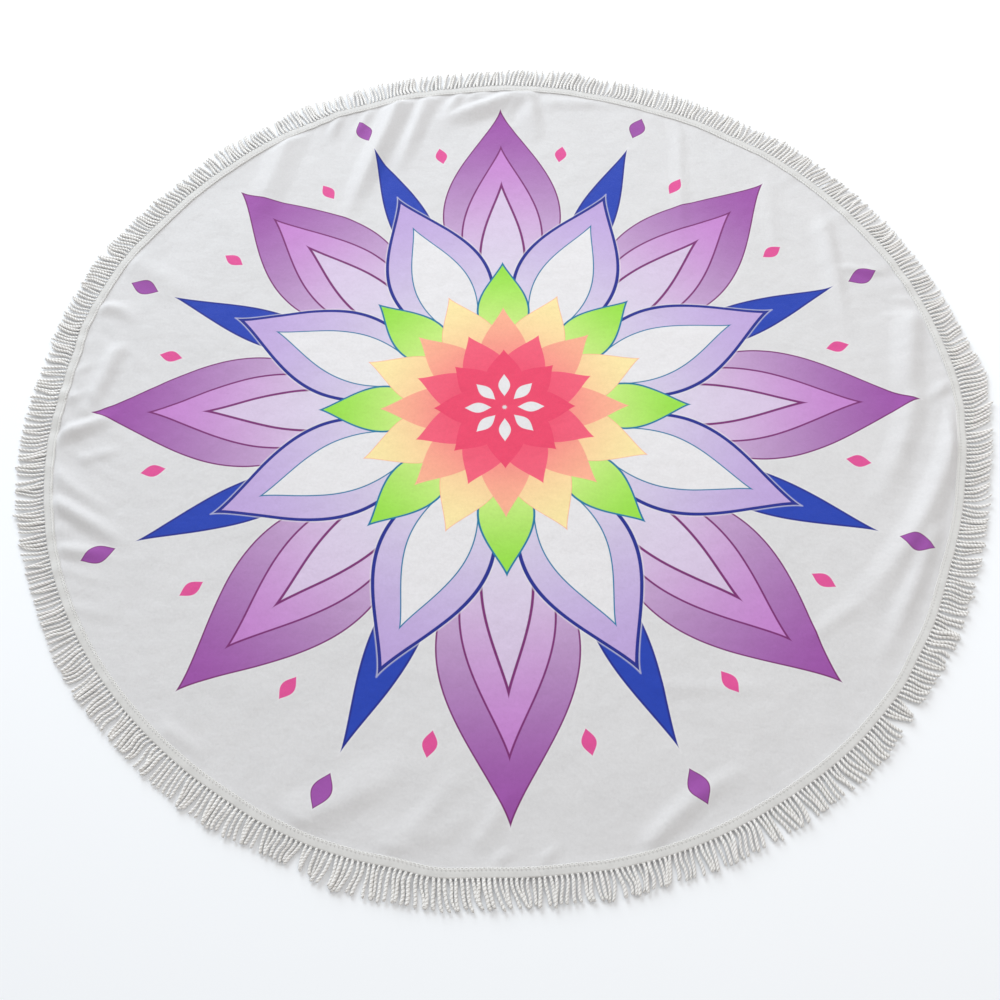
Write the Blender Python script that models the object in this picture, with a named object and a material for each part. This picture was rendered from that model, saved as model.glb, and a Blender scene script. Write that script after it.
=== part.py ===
"""Round beach towel, laid face up on a floor.

Two sewn pieces, in metres, +Z up, with the origin on the floor under the towel's middle:
  cloth   the round printed panel with its narrow hem, flat but for the folds that run in from its edge
  fringe  one length of cord fringe: a woven tape sewn on top of the panel's edge, and the cords that hang
          from the tape, drop to the floor and lie level on it, in locks of about two cords each
"""

import math
from collections import namedtuple

import bmesh
import bpy
from mathutils import Vector
from mathutils.geometry import delaunay_2d_cdt

# Driving dimensions
TOWEL_RADIUS = 0.744
CORD_LENGTH = 0.038
TAPE_WIDTH = 0.0130
TAPE_THICKNESS = 0.0014
CLOTH_THICKNESS = 0.0015
HEM_SETBACK = 0.0030  # from the tape's outer edge in to the panel's edge
PIECE_GAP = 0.0004

# The fringe goes round once from its join, where its last end laps over its first
JOIN_DEGREES = -88.0
LOCK_COUNT = 288
LAPPED_STEPS = 1
LOCK_SHARE = 0.68  # of the tape's edge that a lock's root takes up
LAP_SLANT = 0.45  # how far the upper end's inner corner is cut back, in steps

# The sewn tape holds the edge flat, so the folds start steeply from its inner edge
EDGE_EASE = 0.014
FOLD_RISE = 0.16  # share of a fold's length in which it rises at its start
FOLD_FALL = 0.55  # share of its length in which it dies away at its end

# The panel's mesh follows the folds and is coarse where the cloth is flat
FOLD_STEP = 0.027
CROSS_STEPS = (-1.0, -0.5, 0.0, 0.5, 1.0)
FIRST_ROW_IN = 0.0121  # from the tape's inner edge to the first row of points inside it
CLEAR_OF_TAPE = 0.012
CLOSEST_POINTS = 0.0085
RINGS_APART = 0.060
RING_POINTS_APART = 0.028
SAME_POINT = 1e-6

# A fold is a soft ridge from start to end. Its middle is pushed sideways by bow, to the left as seen from
# its start, half_start and half_end are half its width there, and its crest lies skew half widths to the
# left of its middle, which makes its right flank the gentler one.
Fold = namedtuple("Fold", "name start end bow height half_start half_end skew")
FOLDS = (
    Fold("far left, wide", (-0.366, 0.620), (-0.428, 0.350), 0.000, 0.0070, 0.038, 0.032, -0.10),
    Fold("far left, main drape", (-0.166, 0.720), (-0.280, 0.350), 0.000, 0.0120, 0.031, 0.023, 0.00),
    Fold("far left, second drape", (-0.116, 0.720), (-0.190, 0.460), 0.000, 0.0088, 0.023, 0.019, -0.15),
    Fold("far, slanting", (0.062, 0.684), (-0.140, 0.600), 0.000, 0.0112, 0.029, 0.023, -0.15),
    Fold("far, short", (0.046, 0.710), (0.058, 0.545), 0.000, 0.0086, 0.023, 0.030, 0.20),
    Fold("far, pressed across", (0.070, 0.657), (0.260, 0.655), 0.000, 0.0036, 0.021, 0.018, 0.00),
    Fold("far right, pressed", (0.318, 0.625), (0.302, 0.300), 0.000, 0.0028, 0.018, 0.016, 0.10),
    Fold("right, pressed", (0.462, 0.480), (0.455, 0.270), 0.000, 0.0024, 0.017, 0.015, 0.00),
    Fold("right, inner upright", (0.540, 0.390), (0.549, 0.115), 0.000, 0.0062, 0.020, 0.018, 0.20),
    Fold("right, rim upright", (0.664, 0.185), (0.618, -0.050), -0.006, 0.0088, 0.030, 0.026, 0.05),
    Fold("right, upper slope", (0.642, 0.040), (0.528, -0.200), 0.012, 0.0068, 0.027, 0.024, 0.05),
    Fold("right, long main", (0.712, 0.030), (0.425, -0.400), 0.044, 0.0106, 0.022, 0.031, -0.05),
    Fold("right, long main's tail", (0.505, -0.330), (0.395, -0.405), -0.002, 0.0030, 0.019, 0.017, 0.00),
    Fold("right, long second", (0.632, -0.195), (0.492, -0.450), 0.006, 0.0072, 0.021, 0.018, 0.00),
    Fold("near right, crease", (0.160, -0.690), (0.345, -0.560), 0.020, 0.0050, 0.021, 0.016, 0.10),
    Fold("near right, pressed", (0.180, -0.455), (0.410, -0.460), 0.000, 0.0020, 0.016, 0.014, 0.00),
    Fold("near left, broad", (-0.305, -0.640), (-0.105, -0.540), 0.000, 0.0050, 0.038, 0.034, -0.20),
    Fold("near middle, broad", (-0.180, -0.672), (-0.020, -0.610), 0.000, 0.0034, 0.032, 0.030, -0.20),
    Fold("left, fourth", (-0.690, -0.227), (-0.560, -0.251), 0.000, 0.0060, 0.016, 0.014, 0.00),
    Fold("left, third", (-0.715, -0.133), (-0.545, -0.238), 0.004, 0.0100, 0.018, 0.015, 0.00),
    Fold("left, second", (-0.715, -0.078), (-0.575, -0.178), -0.006, 0.0068, 0.016, 0.013, 0.10),
    Fold("left, main", (-0.715, -0.062), (-0.590, -0.002), 0.000, 0.0100, 0.021, 0.017, 0.10),
    Fold("left, upright", (-0.614, 0.138), (-0.652, -0.022), 0.000, 0.0072, 0.021, 0.018, 0.10),
    Fold("left, curled", (-0.682, 0.194), (-0.594, 0.158), 0.024, 0.0060, 0.019, 0.015, 0.10),
    Fold("left, pressed across", (-0.665, 0.340), (-0.480, 0.195), 0.000, 0.0044, 0.034, 0.030, 0.00),
)

# The edge isn't a true circle. A row moves the tape's outer edge and the cords' tips out or in, and lays
# the tips lean metres along the edge from their roots.
EdgeRow = namedtuple("EdgeRow", "degrees tape_shift tip_shift lean")
EDGE_ROWS = (
    EdgeRow(-174.0, -0.006, 0.000, -0.002),
    EdgeRow(-166.0, -0.003, 0.002, -0.004),
    EdgeRow(-160.0, 0.000, -0.001, -0.005),
    EdgeRow(-154.0, 0.001, -0.001, -0.002),
    EdgeRow(-146.0, 0.001, 0.004, 0.001),
    EdgeRow(-134.0, 0.000, 0.000, 0.002),
    EdgeRow(-122.0, 0.000, 0.002, 0.003),
    EdgeRow(-117.0, 0.002, -0.003, 0.003),
    EdgeRow(-111.6, 0.003, -0.004, 0.000),
    EdgeRow(-107.0, 0.002, 0.006, -0.003),
    EdgeRow(-102.0, 0.000, 0.003, 0.001),
    EdgeRow(-98.0, 0.003, 0.003, 0.004),
    EdgeRow(-92.0, -0.002, -0.003, 0.008),
    EdgeRow(-88.0, -0.002, -0.005, 0.003),
    EdgeRow(-84.0, -0.002, -0.006, -0.004),
    EdgeRow(-79.0, 0.001, -0.001, 0.000),
    EdgeRow(-74.0, 0.002, -0.003, -0.004),
    EdgeRow(-70.0, 0.002, 0.000, -0.004),
    EdgeRow(-60.0, 0.001, 0.000, 0.001),
    EdgeRow(-50.0, 0.002, 0.002, 0.002),
    EdgeRow(-42.0, 0.000, -0.008, 0.003),
    EdgeRow(-35.0, -0.006, -0.008, 0.004),
    EdgeRow(-24.0, -0.013, -0.013, 0.006),
    EdgeRow(-13.0, -0.010, -0.011, 0.010),
    EdgeRow(-5.0, -0.004, -0.001, 0.010),
    EdgeRow(-1.0, 0.000, 0.005, 0.010),
    EdgeRow(3.0, 0.001, 0.010, 0.009),
    EdgeRow(8.0, -0.001, 0.002, 0.007),
    EdgeRow(14.0, 0.000, 0.000, 0.005),
    EdgeRow(22.0, 0.000, -0.001, 0.003),
    EdgeRow(30.0, -0.003, -0.001, 0.001),
    EdgeRow(39.0, -0.002, -0.002, -0.002),
    EdgeRow(46.0, -0.002, 0.003, -0.001),
    EdgeRow(54.0, -0.006, -0.004, 0.000),
    EdgeRow(60.0, -0.005, -0.002, 0.001),
    EdgeRow(67.0, -0.009, 0.001, 0.000),
    EdgeRow(76.0, -0.008, -0.004, -0.003),
    EdgeRow(80.0, -0.005, 0.005, -0.005),
    EdgeRow(88.0, -0.005, 0.001, -0.006),
    EdgeRow(95.0, -0.006, -0.003, -0.007),
    EdgeRow(105.0, -0.003, 0.002, -0.006),
    EdgeRow(110.0, -0.005, 0.003, -0.004),
    EdgeRow(114.0, -0.001, 0.000, -0.002),
    EdgeRow(119.0, -0.003, 0.007, 0.002),
    EdgeRow(124.0, -0.001, -0.002, 0.000),
    EdgeRow(133.0, -0.003, 0.003, -0.003),
    EdgeRow(139.0, -0.003, -0.006, 0.002),
    EdgeRow(146.0, -0.005, -0.002, 0.002),
    EdgeRow(155.0, -0.001, 0.003, 0.003),
    EdgeRow(161.0, -0.003, -0.002, 0.000),
    EdgeRow(166.0, -0.004, -0.002, -0.002),
    EdgeRow(171.0, -0.010, -0.006, -0.004),
    EdgeRow(177.0, -0.011, -0.005, -0.003),
)

# Places where the cords part and lean away to both sides, by spread at their tips
Parting = namedtuple("Parting", "degrees spread reach_degrees")
PARTINGS = (
    Parting(171.0, 0.0050, 3.0),
    Parting(-112.0, 0.0060, 2.5),
    Parting(-45.0, 0.0055, 2.5),
    Parting(-25.0, 0.0055, 2.5),
    Parting(-15.0, 0.0045, 2.5),
    Parting(60.0, 0.0035, 3.0),
    Parting(124.0, 0.0045, 3.0),
)
LEAN_GROWTH = 1.5  # the power of the way along a cord at which its lean grows

# A lock's cross-sections, from just off the tape to the tips: how far along the lock, its width against
# its root's, and its height above the floor that it lies on
LockSection = namedtuple("LockSection", "along width_share height")
LOCK_SECTIONS = (
    LockSection(0.18, 1.02, 0.0042),
    LockSection(0.60, 1.08, 0.0046),
    LockSection(1.00, 0.84, 0.0034),
)

CLOTH_COLOUR = (0.86, 0.86, 0.87, 1.0)
CORD_COLOUR = (0.80, 0.79, 0.76, 1.0)
CLOTH_ROUGHNESS = 0.85
CORD_ROUGHNESS = 0.90


def ease(share):
    """0 to 1, level at both ends."""
    share = min(max(share, 0.0), 1.0)
    return share * share * (3.0 - 2.0 * share)


def edge_shift(degrees, column):
    """A column of EDGE_ROWS read at any angle, eased from row to row round the edge."""
    rows = [(row.degrees, getattr(row, column)) for row in EDGE_ROWS]
    first, last = rows[0], rows[-1]
    rows = [(last[0] - 360.0, last[1])] + rows + [(first[0] + 360.0, first[1])]
    degrees = (degrees + 180.0) % 360.0 - 180.0
    for (before, low), (after, high) in zip(rows, rows[1:]):
        if before <= degrees <= after:
            return low + (high - low) * ease((degrees - before) / (after - before))
    raise ValueError("EDGE_ROWS must go once round")


def tape_outer_radius(degrees):
    return TOWEL_RADIUS - CORD_LENGTH + edge_shift(degrees, "tape_shift")


def tape_inner_radius(degrees):
    return tape_outer_radius(degrees) - TAPE_WIDTH


def half_width(fold, along):
    return fold.half_start + (fold.half_end - fold.half_start) * along


def fold_height(fold, x, y):
    """Height of one fold over the point, 0 outside it."""
    run_x, run_y = fold.end[0] - fold.start[0], fold.end[1] - fold.start[1]
    length = math.hypot(run_x, run_y)
    from_x, from_y = x - fold.start[0], y - fold.start[1]
    along = (from_x * run_x + from_y * run_y) / length**2
    if not 0.0 < along < 1.0:
        return 0.0
    aside = (from_y * run_x - from_x * run_y) / length - fold.bow * 4.0 * along * (1.0 - along)
    off_crest = aside / half_width(fold, along) - fold.skew
    down = off_crest / (1.0 - math.copysign(1.0, off_crest) * fold.skew)
    if abs(down) >= 1.0:
        return 0.0
    swell = ease(along / FOLD_RISE) * ease((1.0 - along) / FOLD_FALL)
    return fold.height * swell * 0.5 * (1.0 + math.cos(math.pi * down))


def cloth_height(x, y):
    """Height of the panel's underside over the floor. Under the tape it is flat on it."""
    radius = math.hypot(x, y)
    inner = tape_inner_radius(math.degrees(math.atan2(y, x)))
    rise = ease((inner - radius) / EDGE_EASE)
    return rise * math.sqrt(sum(fold_height(fold, x, y) ** 2 for fold in FOLDS))


def on_plan(degrees, radius):
    return Vector((radius * math.cos(math.radians(degrees)), radius * math.sin(math.radians(degrees))))


def step_degrees(step):
    return JOIN_DEGREES + 360.0 * step / LOCK_COUNT


def points_on_fold(fold):
    """Plan points along a fold's crest, flanks and feet."""
    start, end = Vector(fold.start), Vector(fold.end)
    run = end - start
    left = Vector((-run.y, run.x)).normalized()
    steps = max(2, round(run.length / FOLD_STEP))
    for step in range(steps + 1):
        along = step / steps
        middle = start + run * along + left * (fold.bow * 4.0 * along * (1.0 - along))
        for share in CROSS_STEPS:
            flank = 1.0 - fold.skew if share > 0.0 else 1.0 + fold.skew
            yield middle + left * (half_width(fold, along) * (fold.skew + share * flank))


def points_on_rings():
    """Plan points of widening rings over the flat middle."""
    yield Vector((0.0, 0.0))
    reach = TOWEL_RADIUS - CORD_LENGTH - TAPE_WIDTH
    rings = round(reach / RINGS_APART)
    for ring in range(1, rings):
        radius = reach * ring / rings
        around = 6 * ring
        for place in range(around):
            yield on_plan(360.0 * (place + 0.5 * (ring % 2)) / around, radius)


def panel_plan():
    """The panel's plan: its edge, the line under the tape's inner edge, and the points inside."""
    steps = range(LOCK_COUNT)
    edge = [on_plan(step_degrees(s), tape_outer_radius(step_degrees(s)) - HEM_SETBACK) for s in steps]
    under_tape = [on_plan(step_degrees(s), tape_inner_radius(step_degrees(s))) for s in steps]
    inside = []

    def keep(point, apart):
        degrees = math.degrees(math.atan2(point.y, point.x))
        if point.length > tape_inner_radius(degrees) - CLEAR_OF_TAPE:
            return
        if all((point - other).length > apart for other in inside):
            inside.append(point)

    for s in steps[::2]:
        radius = tape_inner_radius(step_degrees(s)) - FIRST_ROW_IN
        keep(on_plan(step_degrees(s), radius), CLOSEST_POINTS)
    for fold in FOLDS:
        for point in points_on_fold(fold):
            keep(point, CLOSEST_POINTS)
    for point in points_on_rings():
        keep(point, RING_POINTS_APART)
    return edge, under_tape, inside


def finish_object(name, bm, colour, roughness, collection):
    """The bmesh as a smooth-shaded object with its own material."""
    mesh = bpy.data.meshes.new(name)
    bm.to_mesh(mesh)
    bm.free()
    mesh.shade_smooth()
    material = bpy.data.materials.new(name)
    material.use_nodes = True
    shader = material.node_tree.nodes["Principled BSDF"]
    shader.inputs["Base Color"].default_value = colour
    shader.inputs["Roughness"].default_value = roughness
    mesh.materials.append(material)
    obj = bpy.data.objects.new(name, mesh)
    collection.objects.link(obj)
    return obj


def thicken_upwards(bm, thickness):
    """Makes the open sheet a closed slab: a copy of it goes straight up, with walls between."""
    grown = bmesh.ops.extrude_face_region(bm, geom=bm.faces[:])
    top = [item for item in grown["geom"] if isinstance(item, bmesh.types.BMVert)]
    bmesh.ops.translate(bm, verts=top, vec=(0.0, 0.0, thickness))
    bmesh.ops.recalc_face_normals(bm, faces=bm.faces[:])


def make_cloth(collection):
    edge, under_tape, inside = panel_plan()
    outline = [list(range(len(edge)))]
    points, _, triangles = delaunay_2d_cdt(edge + under_tape + inside, [], outline, 1, SAME_POINT)[:3]
    bm = bmesh.new()
    verts = [bm.verts.new((p.x, p.y, cloth_height(p.x, p.y))) for p in points]
    for triangle in triangles:
        bm.faces.new([verts[index] for index in triangle])
    thicken_upwards(bm, CLOTH_THICKNESS)
    return finish_object("cloth", bm, CLOTH_COLOUR, CLOTH_ROUGHNESS, collection)


def lean(degrees):
    """How far the cords' tips lie to the side, along the edge, of their roots."""
    shift = edge_shift(degrees, "lean")
    for parting in PARTINGS:
        away = (degrees - parting.degrees + 180.0) % 360.0 - 180.0
        shift += math.copysign(parting.spread, away) * math.exp(-abs(away) / parting.reach_degrees)
    return shift


def tape_stations():
    """(inner, outer) points of the tape's underside, step by step, the last ones lapped over the first."""
    lap = TAPE_THICKNESS + PIECE_GAP
    stations = []
    for step in range(LOCK_COUNT + LAPPED_STEPS + 1):
        degrees = step_degrees(step)
        inner, outer = (on_plan(degrees, r(degrees)) for r in (tape_inner_radius, tape_outer_radius))
        if step == LOCK_COUNT + LAPPED_STEPS:
            back = step_degrees(step - LAP_SLANT)
            inner = on_plan(back, tape_inner_radius(back))
        rest = cloth_height(inner.x, inner.y) + CLOTH_THICKNESS + PIECE_GAP
        rest += lap if step >= LOCK_COUNT else 0.0
        stations.append((inner.to_3d() + Vector((0, 0, rest)), outer.to_3d() + Vector((0, 0, rest))))
    return stations


def draw_out_lock(bm, root, underside, degrees):
    """Draws one lock out of its root, the face of the tape's outer wall over the two underside points."""
    middle = root.calc_center_median()
    out = on_plan(degrees, 1.0).to_3d()
    side = Vector((-out.y, out.x, 0.0))
    half = max((vert.co - middle).dot(side) for vert in root.verts)
    corners = [((vert.co - middle).dot(side) > 0.0, vert not in underside) for vert in root.verts]
    length = TOWEL_RADIUS + edge_shift(degrees, "tip_shift") - middle.dot(out)
    face = root
    for section in LOCK_SECTIONS:
        face = bmesh.ops.extrude_discrete_faces(bm, faces=[face])["faces"][0]
        centre = middle + out * (length * section.along) + side * (lean(degrees) * section.along**LEAN_GROWTH)
        for vert, (on_left, on_top) in zip(face.verts, corners):
            vert.co = centre + side * (half * section.width_share * (1.0 if on_left else -1.0))
            vert.co.z = section.height if on_top else 0.0


def make_fringe(collection):
    bm = bmesh.new()
    stations = tape_stations()
    inner = [bm.verts.new(point) for point, _ in stations]
    outer = [bm.verts.new(point) for _, point in stations]
    roots = []
    for step in range(len(stations) - 1):
        if step >= LOCK_COUNT:
            bm.faces.new((inner[step], outer[step], outer[step + 1], inner[step + 1]))
            continue
        edge_point = outer[step].co.lerp(outer[step + 1].co, LOCK_SHARE)
        lock_end = bm.verts.new(edge_point)
        bm.faces.new((inner[step], outer[step], lock_end))
        bm.faces.new((inner[step], lock_end, outer[step + 1], inner[step + 1]))
        roots.append((outer[step], lock_end))
    underside = set(bm.faces)
    thicken_upwards(bm, TAPE_THICKNESS)
    for step, root in enumerate(roots):
        wall = next(face for face in bm.edges.get(root).link_faces if face not in underside)
        draw_out_lock(bm, wall, root, step_degrees(step + 0.5 * LOCK_SHARE))
    bmesh.ops.recalc_face_normals(bm, faces=bm.faces[:])
    return finish_object("fringe", bm, CORD_COLOUR, CORD_ROUGHNESS, collection)


def main():
    for obj in list(bpy.data.objects):
        bpy.data.objects.remove(obj)
    towel = bpy.data.collections.new("round_beach_towel")
    bpy.context.scene.collection.children.link(towel)
    make_cloth(towel)
    make_fringe(towel)


main()
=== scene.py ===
# %% [markdown]
# # A round beach towel with a cord fringe
#
# The towel is one round printed panel of thin microfibre. Its edge is turned under as a narrow hem, and one
# length of bought-in fringe, a woven tape with twisted cords, is sewn on top of that edge all the way round.
# The solids that the towel is built from are loaded first. They are plain, so every cloth and yarn surface
# is made here, on the same folds, and stands in for its solid.

# %% Load the solids
import math
import random
from collections import namedtuple

import bmesh
import bpy
from mathutils import Matrix, Vector, noise


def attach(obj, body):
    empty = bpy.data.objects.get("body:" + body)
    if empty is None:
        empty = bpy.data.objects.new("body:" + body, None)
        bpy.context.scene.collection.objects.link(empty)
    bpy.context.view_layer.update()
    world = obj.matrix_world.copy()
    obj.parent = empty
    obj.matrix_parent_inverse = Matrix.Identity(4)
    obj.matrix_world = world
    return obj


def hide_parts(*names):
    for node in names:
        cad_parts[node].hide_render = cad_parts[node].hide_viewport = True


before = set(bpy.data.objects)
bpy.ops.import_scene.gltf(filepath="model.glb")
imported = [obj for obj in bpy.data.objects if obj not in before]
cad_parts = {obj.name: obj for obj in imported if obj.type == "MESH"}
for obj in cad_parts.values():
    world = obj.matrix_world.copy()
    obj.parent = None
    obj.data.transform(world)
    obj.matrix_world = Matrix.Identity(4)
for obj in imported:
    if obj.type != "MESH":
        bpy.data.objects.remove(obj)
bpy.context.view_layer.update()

# %% [markdown]
# ## The camera and the light
#
# The photograph was taken by hand, standing at the near side and looking down. The camera's place could be
# tried out by eye, but the round outline gives it away by how it is foreshortened: the camera stands 1.48 m
# over the floor and 0.97 m back from the towel's middle, and it was held a little askew. A plain view
# transform keeps the print's colours clear.

# %% Camera
CAMERA_BACK = 0.970  # from the towel's middle towards the near side
CAMERA_HEIGHT = 1.484
CAMERA_DOWN = math.radians(61.44)  # below the level
CAMERA_TURN = math.radians(0.62)
CAMERA_ROLL = math.radians(-1.36)
LENS_MM = 41.05
SENSOR_MM = 36.0

scene = bpy.context.scene
scene.view_settings.view_transform = "Standard"


def add_camera():
    """The camera where the photographer held it."""
    data = bpy.data.cameras.new("camera")
    data.lens = LENS_MM
    data.sensor_width = SENSOR_MM
    camera = bpy.data.objects.new("camera", data)
    scene.collection.objects.link(camera)
    turn = Matrix.Rotation(CAMERA_TURN, 3, "Z")
    tilt = Matrix.Rotation(math.pi / 2 - CAMERA_DOWN, 3, "X")
    roll = Matrix.Rotation(CAMERA_ROLL, 3, "Z")
    camera.rotation_euler = (turn @ tilt @ roll).to_euler()
    camera.location = (0.0, -CAMERA_BACK, CAMERA_HEIGHT)
    scene.camera = camera


add_camera()
print("camera:", CAMERA_HEIGHT, "m up,", CAMERA_BACK, "m back, with a", LENS_MM, "mm lens")

# %% [markdown]
# The light comes from one large window beyond the far side, a little to the left. A light from overhead
# would flatten the cloth, so the window is low enough that each fold has a lit side and a shaded side. A
# small warm lamp high on the right and a pale world fill the shadows.

# %% Light
# A lamp stands at degrees round the towel from +X, rise degrees over the floor.
Lamp = namedtuple("Lamp", "name degrees rise distance side watts colour")
LAMPS = (
    Lamp("window", 117.0, 28.0, 5.0, 3.4, 243.0, (0.87, 0.94, 1.0)),
    Lamp("warm lamp", 10.0, 60.0, 2.3, 1.2, 10.0, (1.0, 0.97, 0.94)),
)
FILL_STRENGTH = 0.62
FILL_COLOUR = (1.0, 0.985, 0.965)


def hang(lamp):
    """A square lamp that faces the towel's middle."""
    data = bpy.data.lights.new(lamp.name, "AREA")
    data.size = lamp.side
    data.energy = lamp.watts
    data.color = lamp.colour
    light = bpy.data.objects.new(lamp.name, data)
    scene.collection.objects.link(light)
    around, rise = math.radians(lamp.degrees), math.radians(lamp.rise)
    towards = Vector((math.cos(around) * math.cos(rise), math.sin(around) * math.cos(rise), math.sin(rise)))
    light.location = towards * lamp.distance
    light.rotation_euler = towards.to_track_quat("Z", "Y").to_euler()


def fill_shadows():
    """The pale light that comes from all round the room."""
    world = bpy.data.worlds.new("room")
    world.use_nodes = True
    background = world.node_tree.nodes["Background"]
    background.inputs["Color"].default_value = (*FILL_COLOUR, 1.0)
    background.inputs["Strength"].default_value = FILL_STRENGTH
    scene.world = world


for lamp in LAMPS:
    hang(lamp)
fill_shadows()
print("lamps:", [lamp.name for lamp in LAMPS])

# %% [markdown]
# ## The towel's sizes
#
# These are the sizes that every piece shares, in metres and degrees. Degrees go round from +X, the
# right-hand side, over the far side.

# %% Sizes
TOWEL_RADIUS = 0.744  # out to the cords' tips
CORD_LENGTH = 0.038
TAPE_WIDTH = 0.0130
TAPE_THICKNESS = 0.0005
CLOTH_THICKNESS = 0.0015  # with the hem turned under
HEM_SETBACK = 0.0030  # from the tape's outer edge in to the panel's edge
PIECE_GAP = 0.0001

JOIN_DEGREES = -88.0  # where the fringe's two ends meet
LAP_DEGREES = 1.25  # how far the fringe's last end laps over its first
LAP_SLANT = 0.45  # of the lap, how far the upper end's inner corner is cut back

print("towel:", round(2.0 * TOWEL_RADIUS, 3), "m across with its fringe")

# %% [markdown]
# ## The uneven edge
#
# The panel, the tape and the cords all follow one edge, and that edge isn't a true circle: it was cut and
# sewn by hand and laid down loosely. A plain circle would look machine-made, and random waves would fall in
# the wrong places. So the edge is read from the short table that shapes the solids too. Each row says, at
# one angle, how far the tape and the cords' tips lie in or out, and how far the tips lean along the edge.

# %% The edge's table
EdgeRow = namedtuple("EdgeRow", "degrees tape_shift tip_shift lean")
EDGE_ROWS = (
    EdgeRow(-174.0, -0.006, 0.000, -0.002),
    EdgeRow(-166.0, -0.003, 0.002, -0.004),
    EdgeRow(-160.0, 0.000, -0.001, -0.005),
    EdgeRow(-154.0, 0.001, -0.001, -0.002),
    EdgeRow(-146.0, 0.001, 0.004, 0.001),
    EdgeRow(-134.0, 0.000, 0.000, 0.002),
    EdgeRow(-122.0, 0.000, 0.002, 0.003),
    EdgeRow(-117.0, 0.002, -0.003, 0.003),
    EdgeRow(-111.6, 0.003, -0.004, 0.000),
    EdgeRow(-107.0, 0.002, 0.006, -0.003),
    EdgeRow(-102.0, 0.000, 0.003, 0.001),
    EdgeRow(-98.0, 0.003, 0.003, 0.004),
    EdgeRow(-92.0, -0.002, -0.003, 0.008),
    EdgeRow(-88.0, -0.002, -0.005, 0.003),
    EdgeRow(-84.0, -0.002, -0.006, -0.004),
    EdgeRow(-79.0, 0.001, -0.001, 0.000),
    EdgeRow(-74.0, 0.002, -0.003, -0.004),
    EdgeRow(-70.0, 0.002, 0.000, -0.004),
    EdgeRow(-60.0, 0.001, 0.000, 0.001),
    EdgeRow(-50.0, 0.002, 0.002, 0.002),
    EdgeRow(-42.0, 0.000, -0.008, 0.003),
    EdgeRow(-35.0, -0.006, -0.008, 0.004),
    EdgeRow(-24.0, -0.013, -0.013, 0.006),
    EdgeRow(-13.0, -0.010, -0.011, 0.010),
    EdgeRow(-5.0, -0.004, -0.001, 0.010),
    EdgeRow(-1.0, 0.000, 0.005, 0.010),
    EdgeRow(3.0, 0.001, 0.010, 0.009),
    EdgeRow(8.0, -0.001, 0.002, 0.007),
    EdgeRow(14.0, 0.000, 0.000, 0.005),
    EdgeRow(22.0, 0.000, -0.001, 0.003),
    EdgeRow(30.0, -0.003, -0.001, 0.001),
    EdgeRow(39.0, -0.002, -0.002, -0.002),
    EdgeRow(46.0, -0.002, 0.003, -0.001),
    EdgeRow(54.0, -0.006, -0.004, 0.000),
    EdgeRow(60.0, -0.005, -0.002, 0.001),
    EdgeRow(67.0, -0.009, 0.001, 0.000),
    EdgeRow(76.0, -0.008, -0.004, -0.003),
    EdgeRow(80.0, -0.005, 0.005, -0.005),
    EdgeRow(88.0, -0.005, 0.001, -0.006),
    EdgeRow(95.0, -0.006, -0.003, -0.007),
    EdgeRow(105.0, -0.003, 0.002, -0.006),
    EdgeRow(110.0, -0.005, 0.003, -0.004),
    EdgeRow(114.0, -0.001, 0.000, -0.002),
    EdgeRow(119.0, -0.003, 0.007, 0.002),
    EdgeRow(124.0, -0.001, -0.002, 0.000),
    EdgeRow(133.0, -0.003, 0.003, -0.003),
    EdgeRow(139.0, -0.003, -0.006, 0.002),
    EdgeRow(146.0, -0.005, -0.002, 0.002),
    EdgeRow(155.0, -0.001, 0.003, 0.003),
    EdgeRow(161.0, -0.003, -0.002, 0.000),
    EdgeRow(166.0, -0.004, -0.002, -0.002),
    EdgeRow(171.0, -0.010, -0.006, -0.004),
    EdgeRow(177.0, -0.011, -0.005, -0.003),
)

print(len(EDGE_ROWS), "rows round the edge")


# %% Reading the table
def ease(share):
    """0 to 1, level at both ends."""
    share = min(max(share, 0.0), 1.0)
    return share * share * (3.0 - 2.0 * share)


def turned(degrees):
    """The same direction, between -180 and 180."""
    return (degrees + 180.0) % 360.0 - 180.0


def edge_shift(degrees, column):
    """A column of EDGE_ROWS read at any angle, eased from row to row round the edge."""
    rows = [(row.degrees, getattr(row, column)) for row in EDGE_ROWS]
    first, last = rows[0], rows[-1]
    rows = [(last[0] - 360.0, last[1])] + rows + [(first[0] + 360.0, first[1])]
    degrees = turned(degrees)
    for (before, low), (after, high) in zip(rows, rows[1:]):
        if before <= degrees <= after:
            return low + (high - low) * ease((degrees - before) / (after - before))
    raise ValueError("EDGE_ROWS must go once round")


def tape_outer_radius(degrees):
    """From the towel's middle out to the tape's outer edge."""
    return TOWEL_RADIUS - CORD_LENGTH + edge_shift(degrees, "tape_shift")


def tape_inner_radius(degrees):
    """From the towel's middle out to the tape's inner edge."""
    return tape_outer_radius(degrees) - TAPE_WIDTH


def on_plan(degrees, radius, height=0.0):
    """The point at degrees round the towel and radius out from its middle."""
    around = math.radians(degrees)
    return Vector((radius * math.cos(around), radius * math.sin(around), height))


print("tape's outer edge:", round(tape_outer_radius(0.0), 4), "m out on the right")

# %% [markdown]
# ## The folds
#
# A towel that was carried folded and then thrown open lies flat but for two kinds of fold: loose drapes that
# run in from the edge, where the sewn tape is a little shorter than the cloth, and low creases where it was
# pressed. A cloth simulation could make such folds, but not where the photograph shows them, so each is
# placed. It is a ridge along a slightly bowed line, with its own height and width, and skew makes one of its
# sides steeper than the other. The first table is that of the solid.

# %% The solid's folds
EDGE_EASE = 0.010  # in from the tape, over which the folds rise
FOLD_RISE = 0.16  # of a fold's length, over which it swells from its start
FOLD_FALL = 0.55  # and over which it dies away to its end
CREASED = 0.7  # 0 for a rounded fold, 1 for one with a sharp crest

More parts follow.
